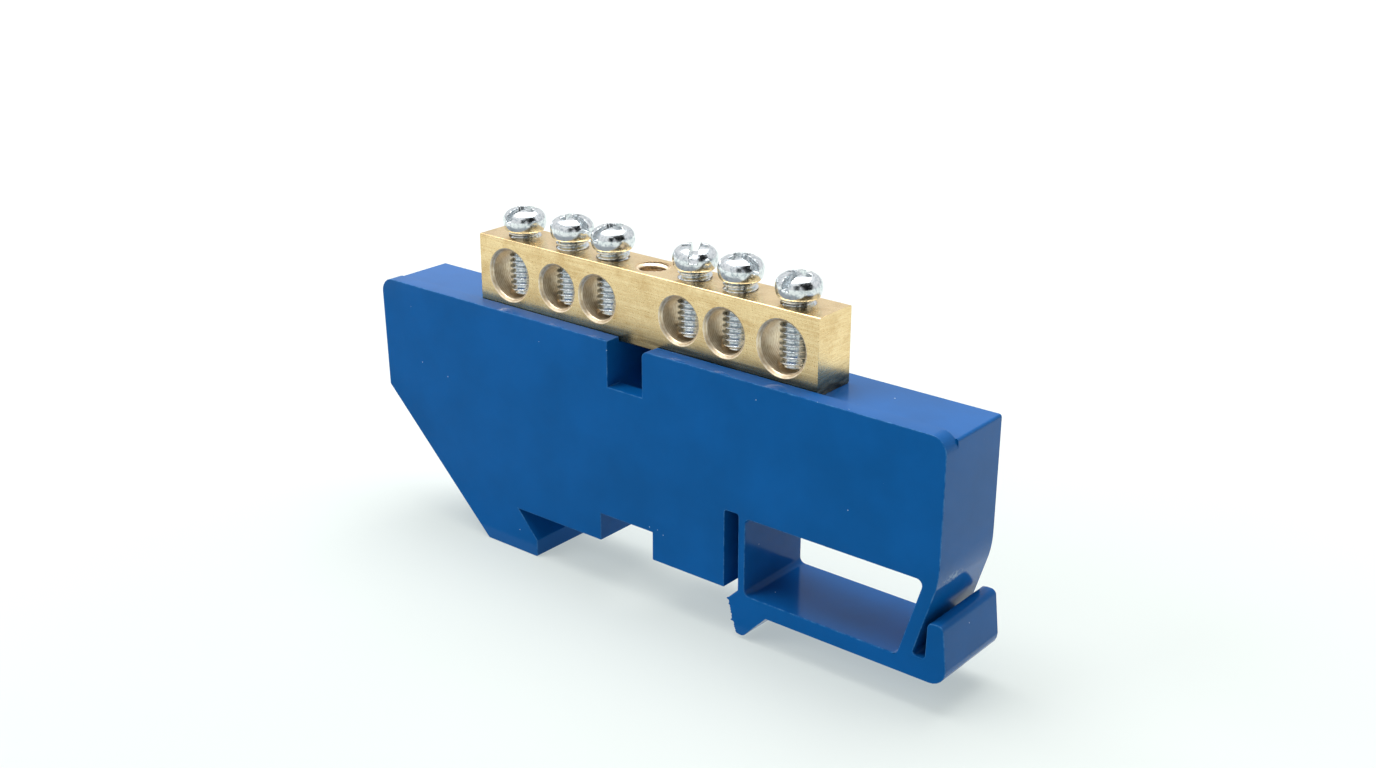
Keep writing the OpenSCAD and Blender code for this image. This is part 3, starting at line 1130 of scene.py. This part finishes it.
@dataclass
class Holder:
    """The one-piece moulding, with its broken edges and the trimmed flash on its snap tooth."""

    edge_mm: float = 0.11
    sharp_deg: float = 32.0
    plate_back_mm: float = -3.3
    joint_step_mm: float = 0.015
    crescent_w_mm: float = 0.5
    crescent_z_mm: Pair = (29.8, 31.2)
    seat_right_mm: float = 41.69
    seat_end_r_mm: float = 0.35
    beside_bar_mm: float = 5.0
    lever_tip_mm: tuple[Pair, Pair] = ((40.9, 10.1), (41.7, 10.85))
    lever_fuller_mm: float = 0.38
    lever_front_mm: float = 0.1
    lever_back_share: float = 0.6
    slot_root_mm: tuple[Pair, Pair] = ((39.2, 6.2), (40.0, 7.1))
    slot_wider_mm: float = 0.4
    tooth_edge_mm: tuple[Pair, ...] = (
        (14.24, 4.70), (15.32, 0.96), (15.44, 0.72), (15.64, 0.52), (15.90, 0.41)
    )
    burrs: tuple[Point, ...] = ((0.58, 0.035, 0.30), (0.02, 0.05, 0.16))
    flash_least_mm: float = 0.03
    flash_mean_mm: float = 0.10
    flash_ragged_mm: float = 0.16
    flash_thin_mm: float = 0.15
    flash_thicker_mm: float = 0.06
    flash_root_mm: float = 0.10
    flash_behind_mm: Pair = (0.010, 0.030)
    flash_steps: int = 64
    seed: int = 7

    def level_joint(self, mesh: Mesh) -> None:
        """Levels the hairline step between the front plate's back and the body behind it.

        Args:
            mesh: the merged holder.
        """
        back = self.plate_back_mm * MM
        with editing(mesh) as bm:
            for vertex in bm.verts:
                if abs(vertex.co.y - back) < self.joint_step_mm * MM:
                    vertex.co.y = back
            bmesh.ops.remove_doubles(bm, verts=bm.verts, dist=2 * MERGE)
            bmesh.ops.dissolve_degenerate(bm, edges=bm.edges, dist=MERGE)
            flat = math.radians(FLAT_DEG)
            bmesh.ops.dissolve_limit(bm, angle_limit=flat, verts=bm.verts, edges=bm.edges)

    def choose_edges(self, mesh: Mesh) -> None:
        """Gives each sharp edge a bevel weight, but not the crescents at the plate's corners.

        Args:
            mesh: the holder with rounded seat ends.
        """
        back, width = self.plate_back_mm * MM, self.crescent_w_mm * MM
        ends = (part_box("holder")[0].x, self.seat_right_mm * MM)
        low, high = (z * MM for z in self.crescent_z_mm)
        with editing(mesh) as bm:
            weight = bm.edges.layers.float.new("bevel_weight_edge")
            for edge in bm.edges:
                at = [vertex.co for vertex in edge.verts]
                in_crescent = any(
                    all(abs(v.y - back) < TOUCH and abs(v.x - end) < width and low < v.z < high
                        for v in at)
                    for end in ends
                )
                sharp = edge.calc_face_angle(0.0) > math.radians(self.sharp_deg)
                edge[weight] = float(sharp and not in_crescent)

    def round_seat_ends(self, mesh: Mesh) -> None:
        """Rounds the two edges where the top face turns down into the ends.

        Args:
            mesh: the merged holder.
        """
        low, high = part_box("terminal_bar")
        beside = self.beside_bar_mm * MM
        with editing(mesh) as bm:
            edges = []
            for edge in bm.edges:
                a, b = (vertex.co for vertex in edge.verts)
                at_top = abs(a.z - low.z) < TOUCH and abs(b.z - low.z) < TOUCH
                outside = not low.x - beside < a.x < high.x + beside
                if at_top and outside and abs(a.x - b.x) < TOUCH and edge.is_convex:
                    edges.append(edge)
            bmesh.ops.bevel(
                bm, geom=edges, offset=self.seat_end_r_mm * MM, segments=4, profile=0.5,
                affect="EDGES",
            )

    def fill_out_lever(self, mesh: Mesh) -> None:
        """Makes the lever's tip fuller, and the slot behind it wider at its root.

        Args:
            mesh: the merged holder.
        """
        near, far = self.lever_tip_mm
        left, right = self.slot_root_mm
        front = (near[0] + far[0]) / 2 * MM + self.lever_front_mm * MM
        for vertex in mesh.vertices:
            at = vertex.co
            if near[1] * MM < at.z < far[1] * MM and near[0] * MM < at.x < far[0] * MM:
                share = 1.0 if at.x < front else self.lever_back_share
                at.x -= self.lever_fuller_mm * share * MM
            if left[1] * MM < at.z < right[1] * MM and left[0] * MM < at.x < right[0] * MM:
                at.x -= self.slot_wider_mm * (right[0] * MM - at.x) / (right[0] - left[0])

    def flash_rows(self) -> list[list[Vector]]:
        """Draws the ragged flash as rows of four points, along the snap tooth's edge.

        Returns:
            The rows, from the tooth's root to its tip.
        """
        chance, front = random.Random(self.seed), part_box("holder")[0].y
        path = [Vector((x * MM, 0.0, z * MM)) for x, z in self.tooth_edge_mm]
        runs = [b - a for a, b in zip(path, path[1:])]
        total, ragged, rows = sum(run.length for run in runs), 0.0, []
        for k in range(self.flash_steps + 1):
            share = k / self.flash_steps
            left, part = total * share, 0
            while part < len(runs) - 1 and left > runs[part].length:
                left -= runs[part].length
                part += 1
            at = path[part] + runs[part].normalized() * left
            out = Vector((runs[part].z, 0.0, -runs[part].x)).normalized()
            ragged = 0.5 * ragged + 0.5 * chance.uniform(-1.0, 1.0)
            burr = sum(
                high * math.exp(-(((share - at_share) / wide) ** 2))
                for at_share, wide, high in self.burrs
            )
            reach = max(
                self.flash_least_mm, self.flash_mean_mm + self.flash_ragged_mm * ragged + burr
            ) * MM * min(1.0, (1 - share) * 6 + 0.1)  # it runs out towards the tip
            thick = (self.flash_thin_mm + self.flash_thicker_mm * chance.random()) * MM
            root, tip = at - out * self.flash_root_mm * MM, at + out * reach
            root_back, tip_back = (back * MM for back in self.flash_behind_mm)
            inner_tip = at + out * reach * 0.8
            rows.append([
                point + Vector((0, front + behind, 0))
                for point, behind in (
                    (root, root_back), (tip, tip_back), (inner_tip, thick), (root, thick * 1.6)
                )
            ])
        return rows

    def flash(self, skin: Skin) -> None:
        """Adds the ragged flash that is left where the snap tooth was trimmed.

        Args:
            skin: the moulding's material.
        """
        bm = bmesh.new()
        rings = [[bm.verts.new(point) for point in row] for row in self.flash_rows()]
        join_rings(bm, rings)
        bm.faces.new(rings[0])
        bm.faces.new(list(reversed(rings[-1])))
        bmesh.ops.recalc_face_normals(bm, faces=bm.faces)
        flash = object_from_bmesh(bm, "snap_tooth_flash", skin)
        smooth(flash, angle_deg=50)
        put_on(flash, "base", "holder_plastic")

    def build(self, skin: Skin, edge_skin: Skin) -> None:
        """Builds the holder.

        Args:
            skin: the moulding's material.
            edge_skin: the material of its broken edges.
        """
        holder = merged_copy("holder", "moulded_holder")
        holder.data.materials.append(skin)
        holder.data.materials.append(edge_skin)
        self.level_joint(holder.data)
        self.fill_out_lever(holder.data)
        self.round_seat_ends(holder.data)
        self.choose_edges(holder.data)
        holder = soften(holder, self.edge_mm * MM, self.sharp_deg, edge_skin=1)
        put_on(holder, "base", "holder_plastic", "holder")
        self.flash(skin)


# ---- studio ----


@dataclass
class Studio:
    """White floor and surround, three soft lights, three cards that mirrors see, and the camera."""

    camera_at: Point = (0.11979, -0.14147, 0.09726)
    camera_turn_deg: Point = (68.931, -0.078, 39.400)
    lens_mm: float = 44.11
    sensor_mm: float = 36.0
    lamps_aim: Point = (0.0, 0.0, 0.02)
    white: str = "#fafcff"
    along_floor: float = 0.80
    overhead: float = 1.00
    on_matt: float = 0.25
    floor_r: float = 3.0
    floor_below: float = 0.00002

    def floor(self, skin: Skin) -> None:
        """Lays the floor just under the part.

        Args:
            skin: the floor's material.
        """
        bm = bmesh.new()
        bmesh.ops.create_circle(bm, cap_ends=True, segments=96, radius=self.floor_r)
        bmesh.ops.translate(bm, verts=bm.verts, vec=(0, 0, -self.floor_below))
        floor = object_from_bmesh(bm, "floor", skin)

    def lamp(self, name: str, at: Point, size: Pair, watts: float, mirrored: bool = True) -> None:
        """Adds one soft rectangular light.

        Args:
            name: the light's name.
            at: where it stands.
            size: its width and height.
            watts: its power.
            mirrored: whether glossy surfaces show it.
        """
        data = bpy.data.lights.new(name, "AREA")
        data.shape, data.size, data.size_y = "RECTANGLE", size[0], size[1]
        data.energy = watts
        lamp = bpy.data.objects.new(name, data)
        lamp.location = at
        lamp.visible_glossy = mirrored
        way = Vector(self.lamps_aim) - Vector(at)
        lamp.rotation_euler = way.to_track_quat("-Z", "Y").to_euler()
        bpy.context.scene.collection.objects.link(lamp)

    def card(
        self, name: str, at: Point, size: Pair, facing: Point | None = None, shade: str = "#0c0f12"
    ) -> None:
        """Places a matt card that only mirrors can see, to give bright metal its dark reflections.

        Args:
            name: the card's name.
            at: where its middle is.
            size: its width and height.
            facing: the way it faces; away from the part if left out.
            shade: its sRGB colour.
        """
        material, tree, shader = new_material(name)
        feed(tree, shader, {
            "Base Color": linear(shade), "Roughness": 1.0, "Specular IOR Level": 0.0,
        })
        bm = bmesh.new()
        bmesh.ops.create_grid(bm, x_segments=1, y_segments=1, size=0.5)
        turn = Vector(facing or at).to_track_quat("Z", "Y").to_matrix().to_4x4()
        place = Matrix.Translation(at) @ turn @ Matrix.Diagonal((*size, 1.0, 1.0))
        bmesh.ops.transform(bm, verts=bm.verts, matrix=place)
        card = object_from_bmesh(bm, name, material)
        card.visible_camera = card.visible_diffuse = card.visible_shadow = False

    def camera(self) -> None:
        """Sets up the camera."""
        data = bpy.data.cameras.new("camera")
        data.lens, data.sensor_width, data.clip_start = self.lens_mm, self.sensor_mm, 0.01
        camera = bpy.data.objects.new("camera", data)
        camera.location = self.camera_at
        camera.rotation_euler = [math.radians(turn) for turn in self.camera_turn_deg]
        bpy.context.scene.collection.objects.link(camera)
        bpy.context.scene.camera = camera

    def surround(self) -> None:
        """Fills the surround with white, dimmer near the floor than overhead."""
        world = bpy.data.worlds.new("surround")
        world.use_nodes = True
        tree = world.node_tree
        way = add_node(tree, "TexCoord")["Generated"]
        up = add_node(tree, "SeparateXYZ", {0: way})[2]
        glow = add_node(
            tree, "MapRange", {"Value": up, "To Min": self.along_floor, "To Max": self.overhead}
        )
        # mirrors see a bright tent, while matt surfaces get most of their light from the lamps
        matt = add_node(tree, "LightPath")["Is Diffuse Ray"]
        share = add_node(tree, "MapRange", {"Value": matt, "To Min": 1.0, "To Max": self.on_matt})
        glow = add_node(tree, "Math", {0: glow[0], 1: share[0]}, operation="MULTIPLY")
        sky = tree.nodes["Background"]
        feed(tree, sky, {"Color": linear(self.white), "Strength": glow[0]})
        bpy.context.scene.world = world

    def build(self) -> None:
        """Sets the whole stage."""
        bpy.context.scene.view_settings.view_transform = "Standard"
        self.camera()
        self.surround()
        self.floor(LitWhite().material())
        self.lamp("overhead", at=(-0.12, 0.10, 0.70), size=(0.8, 0.6), watts=7.6)
        self.lamp("left_front", (-0.50, -0.55, 0.45), (0.5, 0.5), 3.0, mirrored=False)
        self.lamp("right_back", (0.55, 0.30, 0.35), (0.4, 0.5), 0.3, mirrored=False)
        self.card("hood_right", at=(0.196, -0.030, 0.150), size=(0.220, 0.300))
        self.card("hood_left", (0.094, -0.162, 0.115), (0.085, 0.150), shade="#1c2429")
        # painted shadow: a grey card on the floor, seen only by mirrors, for the part's shadow
        # there
        self.card(
            "shade_cloth", (-0.035, -0.041, 0.0005), (0.160, 0.068), (0.0, 0.0, 1.0), "#878c90"
        )


HEAD_TURNS_DEG = (84.0, 172.0, 78.0, 124.0, 168.0, 90.0)


def main() -> None:
    """Builds the part and the studio, in order, and reports each piece."""
    logging.basicConfig(level=logging.INFO, format="%(name)s: %(message)s")
    Studio().build()
    thread = thread_tree()
    zinc = ZincPlate().material()
    polyamide = MouldedPolyamide()
    Holder().build(polyamide.material(), polyamide.material(on_edges=True))
    TerminalBar().build(thread, DrawnBrass().material(), BoredBrass().material())
    head = ScrewHead().build()
    for number, turned in enumerate(HEAD_TURNS_DEG, start=1):
        ClampScrew(number, turned).build(thread, head, zinc)
    bpy.data.objects.remove(head)


if __name__ == "__main__":
    main()
